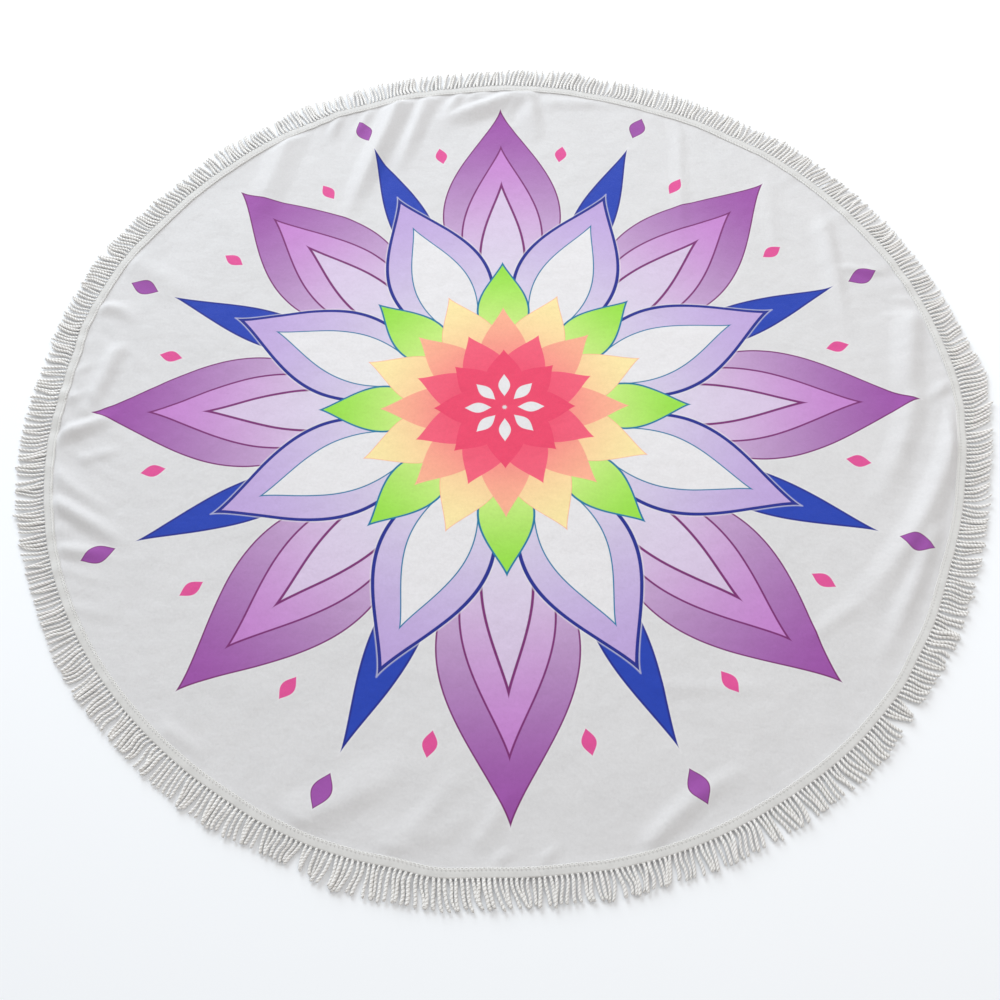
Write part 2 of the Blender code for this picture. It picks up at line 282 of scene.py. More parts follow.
Fold = namedtuple("Fold", "name start end bow height half_start half_end skew")
FOLDS = (
    Fold("far left, wide", (-0.366, 0.620), (-0.428, 0.350), 0.000, 0.0070, 0.038, 0.032, -0.10),
    Fold("far left, main drape", (-0.166, 0.720), (-0.280, 0.350), 0.000, 0.0120, 0.031, 0.023, 0.00),
    Fold("far left, second drape", (-0.116, 0.720), (-0.190, 0.460), 0.000, 0.0088, 0.023, 0.019, -0.15),
    Fold("far, slanting", (0.062, 0.684), (-0.140, 0.600), 0.000, 0.0112, 0.029, 0.023, -0.15),
    Fold("far, short", (0.046, 0.710), (0.058, 0.545), 0.000, 0.0086, 0.023, 0.030, 0.20),
    Fold("far, pressed across", (0.070, 0.657), (0.260, 0.655), 0.000, 0.0036, 0.021, 0.018, 0.00),
    Fold("far right, pressed", (0.318, 0.625), (0.302, 0.300), 0.000, 0.0028, 0.018, 0.016, 0.10),
    Fold("right, pressed", (0.462, 0.480), (0.455, 0.270), 0.000, 0.0024, 0.017, 0.015, 0.00),
    Fold("right, inner upright", (0.540, 0.390), (0.549, 0.115), 0.000, 0.0062, 0.020, 0.018, 0.20),
    Fold("right, rim upright", (0.664, 0.185), (0.618, -0.050), -0.006, 0.0088, 0.030, 0.026, 0.05),
    Fold("right, upper slope", (0.642, 0.040), (0.528, -0.200), 0.012, 0.0068, 0.027, 0.024, 0.05),
    Fold("right, long main", (0.712, 0.030), (0.425, -0.400), 0.044, 0.0106, 0.022, 0.031, -0.05),
    Fold("right, long main's tail", (0.505, -0.330), (0.395, -0.405), -0.002, 0.0030, 0.019, 0.017, 0.00),
    Fold("right, long second", (0.632, -0.195), (0.492, -0.450), 0.006, 0.0072, 0.021, 0.018, 0.00),
    Fold("near right, crease", (0.160, -0.690), (0.345, -0.560), 0.020, 0.0050, 0.021, 0.016, 0.10),
    Fold("near right, pressed", (0.180, -0.455), (0.410, -0.460), 0.000, 0.0020, 0.016, 0.014, 0.00),
    Fold("near left, broad", (-0.305, -0.640), (-0.105, -0.540), 0.000, 0.0050, 0.038, 0.034, -0.20),
    Fold("near middle, broad", (-0.180, -0.672), (-0.020, -0.610), 0.000, 0.0034, 0.032, 0.030, -0.20),
    Fold("left, fourth", (-0.690, -0.227), (-0.560, -0.251), 0.000, 0.0060, 0.016, 0.014, 0.00),
    Fold("left, third", (-0.715, -0.133), (-0.545, -0.238), 0.004, 0.0100, 0.018, 0.015, 0.00),
    Fold("left, second", (-0.715, -0.078), (-0.575, -0.178), -0.006, 0.0068, 0.016, 0.013, 0.10),
    Fold("left, main", (-0.715, -0.062), (-0.590, -0.002), 0.000, 0.0100, 0.021, 0.017, 0.10),
    Fold("left, upright", (-0.614, 0.138), (-0.652, -0.022), 0.000, 0.0072, 0.021, 0.018, 0.10),
    Fold("left, curled", (-0.682, 0.194), (-0.594, 0.158), 0.024, 0.0060, 0.019, 0.015, 0.10),
    Fold("left, pressed across", (-0.665, 0.340), (-0.480, 0.195), 0.000, 0.0044, 0.034, 0.030, 0.00),
)

print(len(FOLDS), "folds of the solid, up to", max(fold.height for fold in FOLDS), "m high")

# %% [markdown]
# The second table adds the small puckers and creases that only the thin sheet shows. Most of them lie beside
# the tape, where its stitches draw the cloth up.

# %% The small folds
SMALL_FOLDS = (
    Fold("far left, by the tape", (-0.288, 0.645), (-0.318, 0.560), 0.003, 0.0036, 0.014, 0.012, 0.0),
    Fold("far, streak", (-0.232, 0.662), (-0.275, 0.555), 0.003, 0.0034, 0.012, 0.011, 0.0),
    Fold("far, bump", (-0.060, 0.708), (-0.112, 0.605), 0.000, 0.0062, 0.017, 0.015, 0.0),
    Fold("far, above the slant", (0.005, 0.712), (-0.085, 0.650), 0.000, 0.0058, 0.012, 0.011, 0.0),
    Fold("far, below the slant", (0.070, 0.705), (-0.005, 0.608), 0.000, 0.0048, 0.014, 0.012, -0.3),
    Fold("far, second bump", (-0.010, 0.715), (-0.050, 0.662), 0.002, 0.0056, 0.014, 0.012, 0.0),
    Fold("far, third bump", (-0.098, 0.712), (-0.124, 0.650), 0.000, 0.0048, 0.012, 0.010, 0.0),
    Fold("far right, arc", (0.236, 0.650), (0.290, 0.560), 0.014, 0.0024, 0.014, 0.012, 0.0),
    Fold("right, pressed line", (0.546, 0.350), (0.552, 0.170), 0.000, 0.0020, 0.010, 0.009, 0.3),
    Fold("right, level crease", (0.552, 0.266), (0.650, 0.247), 0.000, 0.0030, 0.012, 0.010, 0.0),
    Fold("right, small upper", (0.690, 0.192), (0.612, 0.200), 0.000, 0.0028, 0.011, 0.010, 0.0),
    Fold("right, small lower", (0.690, 0.160), (0.594, 0.166), 0.000, 0.0030, 0.011, 0.010, 0.0),
    Fold("right, by the rim", (0.712, 0.044), (0.642, -0.006), 0.000, 0.0044, 0.015, 0.012, 0.0),
    Fold("left, notch upper", (-0.700, 0.058), (-0.640, 0.100), 0.002, 0.0036, 0.013, 0.011, 0.0),
    Fold("left, notch lower", (-0.705, 0.004), (-0.640, 0.045), 0.002, 0.0036, 0.013, 0.011, 0.0),
    Fold("left, under the main", (-0.650, -0.088), (-0.570, -0.062), 0.000, 0.0028, 0.016, 0.014, 0.0),
    Fold("left, under the third", (-0.690, -0.176), (-0.622, -0.222), 0.000, 0.0036, 0.013, 0.011, 0.0),
    Fold("left, low", (-0.640, -0.320), (-0.594, -0.335), 0.000, 0.0024, 0.012, 0.010, 0.0),
    Fold("near left, small", (-0.470, -0.500), (-0.395, -0.550), 0.002, 0.0032, 0.014, 0.012, 0.0),
    Fold("near, first slant", (-0.135, -0.660), (-0.050, -0.560), 0.000, 0.0034, 0.026, 0.022, 0.1),
    Fold("near, second slant", (-0.045, -0.670), (0.015, -0.575), 0.000, 0.0030, 0.022, 0.018, 0.1),
    Fold("near, left pucker", (-0.035, -0.700), (0.012, -0.660), 0.000, 0.0028, 0.012, 0.010, 0.0),
    Fold("near, right pucker", (0.025, -0.700), (0.070, -0.655), 0.000, 0.0028, 0.012, 0.010, 0.0),
)

print(len(SMALL_FOLDS), "small folds")

# %% [markdown]
# Between the folds the cloth isn't quite level. Noise gives it a broad and a narrow rise and fall, and
# gathers that die away within reach of the tape. A run of gathers is strongest within spread degrees of its
# middle, has so many waves to the degree, and slants by so many degrees for each metre in from the tape.

# %% Gathers and unevenness
Gather = namedtuple("Gather", "name degrees spread height reach waves slant")
GATHERS = (
    Gather("all round", 0.0, 1000.0, 0.0006, 0.050, 0.50, 0.0),
    Gather("far side", 104.0, 26.0, 0.0027, 0.070, 0.50, 60.0),
    Gather("left side", -176.0, 28.0, 0.0028, 0.085, 0.55, 76.0),
    Gather("right side", 12.0, 24.0, 0.0026, 0.070, 0.50, 0.0),
    Gather("near side", -88.0, 12.0, 0.0008, 0.040, 0.60, 0.0),
)
BROAD_WAVES = 8.0  # to the metre
BROAD_HEIGHT = 0.0012
NARROW_WAVES = 27.0  # to the metre
NARROW_HEIGHT = 0.0005
NARROW_SLICE = 5.0  # of the noise, so that it doesn't repeat the broad one


def unevenness(x, y, degrees, from_tape):
    """The small rise and fall of cloth that isn't ironed flat, and its gathers along the sewn tape."""
    height = BROAD_HEIGHT * (1.0 + noise.noise((x * BROAD_WAVES, y * BROAD_WAVES, 0.0)))
    height += NARROW_HEIGHT * (1.0 + noise.noise((x * NARROW_WAVES, y * NARROW_WAVES, NARROW_SLICE)))
    for gather in GATHERS:
        fade = math.exp(-(turned(degrees - gather.degrees) / gather.spread) ** 2 - from_tape / gather.reach)
        wave = (degrees - gather.slant * from_tape) * gather.waves
        height += gather.height * fade * (1.0 + noise.noise((wave, from_tape * BROAD_WAVES, gather.degrees)))
    return height


print(len(GATHERS), "runs of gathers")


# %% How high the cloth lies
def half_width(fold, along):
    """From a fold's crest to its foot, at a share of the way along it."""
    return fold.half_start + (fold.half_end - fold.half_start) * along


def fold_height(fold, x, y):
    """Height of one fold over the point, 0 outside it."""
    run_x, run_y = fold.end[0] - fold.start[0], fold.end[1] - fold.start[1]
    length = math.hypot(run_x, run_y)
    from_x, from_y = x - fold.start[0], y - fold.start[1]
    along = (from_x * run_x + from_y * run_y) / length**2
    if not 0.0 < along < 1.0:
        return 0.0
    aside = (from_y * run_x - from_x * run_y) / length - fold.bow * 4.0 * along * (1.0 - along)
    off_crest = aside / half_width(fold, along) - fold.skew
    down = off_crest / (1.0 - math.copysign(1.0, off_crest) * fold.skew)
    if abs(down) >= 1.0:
        return 0.0
    swell = ease(along / FOLD_RISE) * ease((1.0 - along) / FOLD_FALL)
    soft, sharp = 0.5 * (1.0 + math.cos(math.pi * down)), 1.0 - abs(down)
    return fold.height * swell * (soft + (sharp - soft) * CREASED)


def cloth_height(x, y):
    """Height of the panel's underside over the floor.

    The folds end at the tape, which holds the cloth down but for its unevenness.
    """
    radius = math.hypot(x, y)
    degrees = math.degrees(math.atan2(y, x))
    inner = tape_inner_radius(degrees)
    if radius > inner:
        x, y, radius = x * inner / radius, y * inner / radius, inner
    folds = math.sqrt(sum(fold_height(fold, x, y) ** 2 for fold in FOLDS + SMALL_FOLDS))
    return ease((inner - radius) / EDGE_EASE) * folds + unevenness(x, y, degrees, inner - radius)


print("the cloth's middle lies", round(cloth_height(0.0, 0.0), 4), "m over the floor")

# %% [markdown]
# ## Shader maths
#
# A finish is a small tree of nodes, and sums in it are easier to read as sums. `Amount` wraps the output of
# a node, so that `1 - mask * 0.5` adds the Math nodes by itself. `Finish` is one material. Its `node` method
# takes a node's type, then its settings, then the values or links of its sockets.

# %% The two classes that make every finish
class Amount:
    """A number or colour that changes over the surface: one output socket of a finish."""

    def __init__(self, finish, socket):
        self.finish, self.socket = finish, socket

    def __add__(self, other):
        return self.finish.maths("ADD", self, other)

    def __radd__(self, other):
        return self.finish.maths("ADD", other, self)

    def __sub__(self, other):
        return self.finish.maths("SUBTRACT", self, other)

    def __rsub__(self, other):
        return self.finish.maths("SUBTRACT", other, self)

    def __mul__(self, other):
        return self.finish.maths("MULTIPLY", self, other)

    def __rmul__(self, other):
        return self.finish.maths("MULTIPLY", other, self)

    def __truediv__(self, other):
        return self.finish.maths("DIVIDE", self, other)

    def __rtruediv__(self, other):
        return self.finish.maths("DIVIDE", other, self)

    def __pow__(self, other):
        return self.finish.maths("POWER", self, other)

    def __rpow__(self, other):
        return self.finish.maths("POWER", other, self)


MIX_SHARE, MIX_LOW, MIX_HIGH, MIX_RESULT = 0, 6, 7, 2  # the places of a Mix node's sockets for colours


class Finish:
    """One material: its shader, and the nodes that feed it."""

    def __init__(self, name, **constants):
        self.material = bpy.data.materials.new(name)
        self.material.use_nodes = True
        self.tree = self.material.node_tree
        self.shader = self.tree.nodes["Principled BSDF"]
        for socket, value in constants.items():
            self.shader.inputs[socket.replace("_", " ")].default_value = value

    def node(self, kind, settings=None, sockets=None, output=0):
        """Adds a node and returns one of its outputs, the first unless another is asked for."""
        node = self.tree.nodes.new(kind)
        for name, value in (settings or {}).items():
            setattr(node, name, value)
        for name, value in (sockets or {}).items():
            self.feed(node.inputs[name], value)
        return Amount(self, node.outputs[output])

    def feed(self, socket, value):
        """Links an Amount to the socket, or sets a plain value on it."""
        if isinstance(value, Amount):
            self.tree.links.new(value.socket, socket)
        elif socket.type == "RGBA" and len(value) == 3:
            socket.default_value = (*value, 1.0)
        else:
            socket.default_value = value

    def maths(self, operation, *values):
        """The outcome of one sum, such as SINE, on the values."""
        return self.node("ShaderNodeMath", {"operation": operation}, dict(enumerate(values)))

    def place(self):
        """(x, y) of the surface, in metres."""
        spot = self.node("ShaderNodeTexCoord", output="Object")
        return [self.node("ShaderNodeSeparateXYZ", None, {0: spot}, output=axis) for axis in "XY"]

    def unrolled(self, uv_map):
        """(x, y) of the flat grid that the piece was bent from, each from 0 to 1."""
        flat = self.node("ShaderNodeUVMap", {"uv_map": uv_map})
        return [self.node("ShaderNodeSeparateXYZ", None, {0: flat}, output=axis) for axis in "XY"]

    def blend(self, low, high, share):
        """The colour low where share is 0 and high where it is 1."""
        sockets = {MIX_SHARE: share, MIX_LOW: low, MIX_HIGH: high}
        return self.node("ShaderNodeMix", {"data_type": "RGBA"}, sockets, output=MIX_RESULT)

    def clamp(self, value, low=0.0, high=1.0):
        """The value, kept from going under low or over high."""
        return self.node("ShaderNodeClamp", None, {"Value": value, "Min": low, "Max": high})

    def ease(self, share):
        """0 to 1, level at both ends."""
        return share * share * (3.0 - 2.0 * share)

    def noise(self, scale, detail=2.0):
        """0 to 1 in soft blotches, scale of them to the metre."""
        spot = self.node("ShaderNodeTexCoord", output="Object")
        return self.node("ShaderNodeTexNoise", None, {"Vector": spot, "Scale": scale, "Detail": detail})

    def raise_up(self, height, distance):
        """Height, from 0 to 1, shown as relief of the given depth in metres."""
        bump = self.node("ShaderNodeBump", None, {"Height": height, "Distance": distance, "Strength": 1.0})
        self.feed(self.shader.inputs["Normal"], bump)

    def colour(self, colour):
        """Makes this the colour of the surface."""
        self.feed(self.shader.inputs["Base Color"], colour)

    def roughness(self, low, high, share):
        """Makes the surface matt: low where share is 0 and high where it is 1. A mirror's roughness is 0."""
        self.feed(self.shader.inputs["Roughness"], low + (high - low) * share)


def srgb(red, green, blue):
    """A colour as a paint program gives it, 0 to 255, as the linear one that a shader takes."""
    shares = (red / 255.0, green / 255.0, blue / 255.0)
    return tuple(s / 12.92 if s <= 0.04045 else ((s + 0.055) / 1.055) ** 2.4 for s in shares)


print("half grey as the shader sees it:", [round(part, 3) for part in srgb(128, 128, 128)])

# %% [markdown]
# ## The print
#
# The face is printed with a rosette, a traditional and evenly turned flower: rings of pointed petals, one
# ring over another, from large purple ones at the edge to a pink heart. An image could carry it, but sums on
# the place of each point stay sharp from any distance and need no file. The inks and petals come first.

# %% Inks and petals
INK_EDGE = 0.0009  # over which an ink's edge goes from nothing to full
DYE_CREEP = 0.0030  # the pale rim where dye has crept into the white cloth
CREEP_STRENGTH = 0.7
FIRST_PETAL_DEGREES = 90.0
PETAL_POINT = 1.3  # over 1 draws a petal's sides in towards both its ends

PLUM = srgb(122, 42, 112)
PURPLE = srgb(155, 79, 165)
ORCHID = srgb(196, 130, 204)
LILAC = srgb(214, 194, 224)
NAVY = srgb(31, 42, 140)
ROYAL = srgb(32, 64, 176)
LAVENDER = srgb(190, 164, 218)
MIST = srgb(220, 216, 230)
TEAL = srgb(18, 118, 160)
LIME = srgb(150, 222, 66)
PALE_LIME = srgb(218, 240, 148)
PEACH = srgb(250, 178, 146)
BUTTER = srgb(249, 230, 166)
ROSE = srgb(243, 96, 122)
CERISE = srgb(236, 70, 106)
PINK = srgb(224, 80, 150)
SNOW = srgb(230, 228, 230)
CLOTH_WHITE = srgb(223, 222, 223)

# A ring of count petals, the first turned by turn degrees. Its outline is line wide, in the colour edge, and
# the petal's fill goes from the colour at its root to the colour at its tip.
Petal = namedtuple("Petal", "name count turn root tip half line edge at_root at_tip creeps")
PETALS = (
    Petal("outer", 8, 0.0, 0.140, 0.645, 0.102, 0.0024, PLUM, LILAC, PURPLE, True),
    Petal("outer, second line", 8, 0.0, 0.130, 0.560, 0.070, 0.0030, PLUM, MIST, ORCHID, False),
    Petal("outer, third line", 8, 0.0, 0.120, 0.475, 0.040, 0.0040, PLUM, MIST, LILAC, False),
    Petal("lance", 8, 22.5, 0.200, 0.592, 0.036, 0.0030, NAVY, ROYAL, ROYAL, True),
    Petal("bud", 8, 22.5, 0.612, 0.668, 0.015, 0.0014, PLUM, PURPLE, PURPLE, True),
    Petal("seed", 16, 11.25, 0.520, 0.562, 0.011, 0.0010, PINK, PINK, PINK, True),
    Petal("middle", 8, 22.5, 0.070, 0.472, 0.086, 0.0056, NAVY, MIST, LAVENDER, True),
    Petal("middle, inner line", 8, 22.5, 0.100, 0.402, 0.048, 0.0020, TEAL, SNOW, SNOW, False),
    Petal("leaf", 8, 0.0, 0.080, 0.292, 0.044, 0.0032, TEAL, PALE_LIME, LIME, False),
    Petal("peach", 8, 22.5, 0.020, 0.236, 0.048, 0.0012, PEACH, PEACH, BUTTER, False),
    Petal("peach, small", 8, 0.0, 0.000, 0.196, 0.040, 0.0000, PEACH, ROSE, PEACH, False),
    Petal("heart", 8, 22.5, 0.000, 0.150, 0.036, 0.0000, ROSE, CERISE, ROSE, False),
    Petal("heart, small", 8, 0.0, 0.000, 0.112, 0.030, 0.0000, CERISE, CERISE, CERISE, False),
    Petal("star", 8, 0.0, 0.018, 0.064, 0.010, 0.0000, SNOW, SNOW, SNOW, False),
)

print(sum(petal.count for petal in PETALS), "petals in", len(PETALS), "rings")

# %% [markdown]
# A petal is as broad as a raised sine from its root to its tip, so that its sides draw in to a point at both
# ends. Folding the angle round the middle makes one petal into a whole ring of them. Each ring is then laid
# over the ones before it: first the pale rim of crept dye, then the outline, then the fill.


# %% Printing the rosette
def spokes(finish, radius, angle, count, turn_degrees):
    """The point as seen from the nearest of count spokes: (metres out along it, metres to its side)."""
    turn = math.radians(turn_degrees + FIRST_PETAL_DEGREES)
    off = finish.maths("PINGPONG", angle - turn, math.pi / count)
    return radius * finish.maths("COSINE", off), radius * finish.maths("SINE", off)


def inside_petal(finish, out, aside, petal):
    """How far inside a petal's outline the point lies, in metres, and less than 0 outside it."""
    length = petal.tip - petal.root
    along = (out - petal.root) / length
    share = finish.clamp(along)
    beyond = finish.maths("ABSOLUTE", along - share) * length
    swell = finish.maths("SINE", share * math.pi)
    return petal.half * swell**PETAL_POINT - aside - beyond - INK_EDGE


def inked(finish, inside):
    """1 inside an outline and 0 outside it, with a soft edge."""
    return finish.clamp(inside / INK_EDGE + 0.5)


def print_rosette(finish, ground):
    """The ground colour with every ring of petals printed on it, from the back to the front."""
    x, y = finish.place()
    radius = finish.maths("SQRT", x * x + y * y)
    angle = finish.maths("ARCTAN2", y, x)
    colour = ground
    for petal in PETALS:
        out, aside = spokes(finish, radius, angle, petal.count, petal.turn)
        inside = inside_petal(finish, out, aside, petal)
        if petal.creeps:
            crept = finish.clamp(inside / DYE_CREEP + 1.0)
            colour = finish.blend(colour, SNOW, crept * CREEP_STRENGTH)
        share = finish.clamp((out - petal.root) / (petal.tip - petal.root))
        fill = finish.blend(petal.at_root, petal.at_tip, finish.ease(share))
        if petal.line:
            colour = finish.blend(colour, petal.edge, inked(finish, inside))
        colour = finish.blend(colour, fill, inked(finish, inside - petal.line))
    return colour


print("the outer petals reach", PETALS[0].tip, "m out")

# %% [markdown]
# ## The cloth's two faces
#
# Microfibre is woven of very fine yarn, so from a step away its weave shows only as a soft grain. The weave
# is a product of two sines, a finer noise is the nap of the yarn, and a coarse one leaves the white a little
# blotchy. The last small creases are finer than the sheet's squares, so they are relief in the finish.

# %% The cloth's finishes
YARN_PITCH = 0.0011
WEAVE_DEPTH = 0.00030
CRUMPLE_DEPTH = 0.0017
CRUMPLES = 38.0  # to the metre
NAP = 260.0  # to the metre
BLOTCHES = 14.0  # to the metre
WEAVE_SHADE = 0.10  # how much darker painted shade makes it between the yarns
NAP_SHADE = 0.12
WEAVE_SHARE = 0.55  # of the fine relief. The rest is nap
FACE_ROUGHNESS = (0.78, 0.94)  # the least and the most
BACK_LOOPS = 520.0  # to the metre
BACK_RELIEF = 0.0006
BACK_ROUGHNESS = (0.85, 0.97)
BLOTCH_WHITE = srgb(215, 214, 215)
BACK_GREY = srgb(214, 215, 218)
BACK_WHITE = srgb(238, 238, 240)
BLACK = (0.0, 0.0, 0.0)


def finish_printed_face():
    """White microfibre with a fine even weave, printed on this side."""
    finish = Finish("printed microfibre", Sheen_Weight=0.20, Sheen_Roughness=0.5, Specular_IOR_Level=0.25)
    x, y = finish.place()
    yarn = 2.0 * math.pi / YARN_PITCH
    weave = finish.maths("SINE", x * yarn) * finish.maths("SINE", y * yarn) * 0.5 + 0.5
    nap = finish.noise(NAP, detail=3.0)
    ground = finish.blend(CLOTH_WHITE, BLOTCH_WHITE, finish.noise(BLOTCHES))
    printed = print_rosette(finish, ground)
    # painted shade between the yarns, with the nap's own random tone, darkens the print towards black
    weave_shade_and_nap_tone = finish.clamp((1.0 - WEAVE_SHADE) + WEAVE_SHADE * weave + NAP_SHADE * (nap - 0.5))
    finish.colour(finish.blend(BLACK, printed, weave_shade_and_nap_tone))
    finish.roughness(*FACE_ROUGHNESS, nap)
    grain = WEAVE_SHARE * weave + (1.0 - WEAVE_SHARE) * nap
    relief = CRUMPLE_DEPTH * finish.noise(CRUMPLES, detail=3.0) + WEAVE_DEPTH * grain
    finish.raise_up(relief / CRUMPLE_DEPTH, CRUMPLE_DEPTH)
    return finish.material


def finish_plain_back():
    """The unprinted underside, plain white with a fine looped nap."""
    finish = Finish("plain microfibre back", Sheen_Weight=0.25, Sheen_Roughness=0.5, Specular_IOR_Level=0.2)
    loops = finish.noise(BACK_LOOPS)
    finish.colour(finish.blend(BACK_GREY, BACK_WHITE, loops))
    finish.roughness(*BACK_ROUGHNESS, loops)
    finish.raise_up(loops, BACK_RELIEF)
    return finish.material


print(round(1.0 / YARN_PITCH), "yarns to the metre")

# %% [markdown]
# ## The printed panel
#
# The panel is one round of thin cloth. A fan of triangles would pinch at the middle, so it starts as an open
# grid, and the grid's squares are pulled into a disc whose outer rows lie along the edge. Each point is
# lifted by the folds. The edge loop is then extruded down and back underneath, which turns the hem under,
# and Solidify gives the sheet its thickness last.

# %% The panel's sizes
PANEL_CELLS = 212
SHEET_THICKNESS = 0.0007
SHEET_MIDDLE = 0.55  # of its thickness, from the cloth's height up to its middle
HEM_WIDTH = 0.008
HEM_EASE = 0.006  # over which the cloth rises onto the hem's lower layer
HEM_LAYER = 1.1  # of the sheet's thickness, by which that layer lifts it
# The hem, row by row: how far in from the panel's edge, and how many sheets down from the top layer.
HEM_ROWS = ((-0.0004, 0.5), (0.0, 1.05), (HEM_WIDTH / 2, 1.1), (HEM_WIDTH, 1.1))


def panel_edge_radius(degrees):
    """From the towel's middle out to the turned edge of the cloth."""
    return tape_outer_radius(degrees) - HEM_SETBACK


def square_to_disc(across, up):
    """A point of the square from -1 to 1 as (degrees, radius) on the unit disc, its rim on the disc's rim."""
    if across == 0.0 and up == 0.0:
        return 0.0, 0.0
    if abs(across) > abs(up):
        degrees, radius = 45.0 * up / across, across
    else:
        degrees, radius = 90.0 - 45.0 * across / up, up
    return (degrees, radius) if radius > 0.0 else (degrees + 180.0, -radius)


def sheet_height(degrees, radius):
    """Height of the middle of the sheet over the floor."""
    point = on_plan(degrees, radius)
    hem_from = panel_edge_radius(degrees) - HEM_WIDTH
    on_hem = ease(1.0 - (hem_from - radius) / HEM_EASE)
    return cloth_height(point.x, point.y) + SHEET_THICKNESS * (SHEET_MIDDLE + HEM_LAYER * on_hem)


print("the panel's edge:", round(panel_edge_radius(0.0), 4), "m out on the right")


# %% Making the panel
def turn_hem_under(bm):
    """Extrudes the edge loop round and back under the panel, row by row."""
    for inwards, drop in HEM_ROWS:
        edge = [e for e in bm.edges if e.is_boundary]
        grown = bmesh.ops.extrude_edge_only(bm, edges=edge)["geom"]
        for vert in (item for item in grown if isinstance(item, bmesh.types.BMVert)):
            degrees = math.degrees(math.atan2(vert.co.y, vert.co.x))
            radius = panel_edge_radius(degrees) - inwards
            point = on_plan(degrees, radius)
            top = cloth_height(point.x, point.y) + SHEET_THICKNESS * (SHEET_MIDDLE + HEM_LAYER)
            vert.co = on_plan(degrees, radius, top - SHEET_THICKNESS * drop)


def new_piece(name, bm, *materials):
    """The bmesh as a smooth-shaded object that rides with the towel."""
    mesh = bpy.data.meshes.new(name)
    bm.to_mesh(mesh)
    bm.free()
    mesh.shade_smooth()
    for material in materials:
        mesh.materials.append(material)
    piece = bpy.data.objects.new(name, mesh)
    scene.collection.objects.link(piece)
    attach(piece, "root")
    print(name, len(mesh.polygons), "faces")
    return piece


def give_thickness(piece, thickness, second_material=0):
    """Makes a sheet thick to both sides of itself, its back and rim in the second material."""
    solidify = piece.modifiers.new("thickness", "SOLIDIFY")
    solidify.thickness = thickness
    solidify.offset = 0.0
    solidify.material_offset = second_material
    solidify.material_offset_rim = second_material


def make_panel():
    """The printed panel with its folds and its hem."""
    bm = bmesh.new()
    bmesh.ops.create_grid(bm, x_segments=PANEL_CELLS, y_segments=PANEL_CELLS, size=1.0)
    for vert in bm.verts:
        degrees, share = square_to_disc(vert.co.x, vert.co.y)
        radius = share * panel_edge_radius(degrees)
        vert.co = on_plan(degrees, radius, sheet_height(degrees, radius))
    turn_hem_under(bm)
    panel = new_piece("printed_panel", bm, finish_printed_face(), finish_plain_back())
    give_thickness(panel, SHEET_THICKNESS, second_material=1)
    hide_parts("cloth")
    return panel


panel = make_panel()

# %% [markdown]
# ## The woven tape
#
# The cords come woven into a narrow cotton tape, and the tape is what is sewn on. It goes once round on top
# of the hem, and its last end, cut on a slant, laps over its first. A spun ring would have no ends to lap,
# so the tape starts as a long grid, six squares across, that is bent into the ring. Its middle stands up a
# little, and its inner edge is drawn down by the sewing.

# %% The tape's shape
EDGE_LENGTH = 2.0 * math.pi * (TOWEL_RADIUS - CORD_LENGTH - TAPE_WIDTH / 2)
TAPE_STEPS = 900
TAPE_ROWS = 6
TAPE_CROWN = 0.0002  # how far its middle stands up
TAPE_PRESS = 0.00025  # how far its inner edge is drawn down
PRESS_SHARE = 0.30  # of its width, over which that happens
LAP_LIFT = TAPE_THICKNESS + PIECE_GAP
ROUND_DEGREES = 360.0 + LAP_DEGREES


def tape_rest(turned_by, share):
    """(degrees, radius, height) of a place under the tape.

    It lies turned_by degrees from the tape's first end, and share of the way across from its inner edge.
    """
    degrees = JOIN_DEGREES + turned_by
    inner = on_plan(degrees, tape_inner_radius(degrees))
    height = cloth_height(inner.x, inner.y) + CLOTH_THICKNESS + PIECE_GAP
    height += LAP_LIFT * ease((turned_by - (360.0 - LAP_DEGREES)) / LAP_DEGREES)
    height -= TAPE_PRESS * (1.0 - ease(share / PRESS_SHARE))
    radius = tape_inner_radius(degrees) + TAPE_WIDTH * share
    return degrees, radius, height


def make_tape():
    """The tape, with its lap. The grid's flat coordinates stay on it as a UV map."""
    bm = bmesh.new()
    bm.loops.layers.uv.new("along the tape")
    bmesh.ops.create_grid(bm, x_segments=TAPE_STEPS, y_segments=TAPE_ROWS, size=0.5, calc_uvs=True)
    for vert in bm.verts:
        share = vert.co.y + 0.5
        end = ROUND_DEGREES - LAP_SLANT * LAP_DEGREES * (1.0 - share)
        degrees, radius, height = tape_rest((vert.co.x + 0.5) * end, share)
        crown = TAPE_CROWN * math.sin(math.pi * share)
        vert.co = on_plan(degrees, radius, height + TAPE_THICKNESS / 2 + crown)
    bmesh.ops.recalc_face_normals(bm, faces=bm.faces[:])
    tape = new_piece("woven_tape", bm, finish_tape())
    give_thickness(tape, TAPE_THICKNESS)
    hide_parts("fringe")
    return tape


print("the tape runs", round(EDGE_LENGTH, 3), "m round the towel")
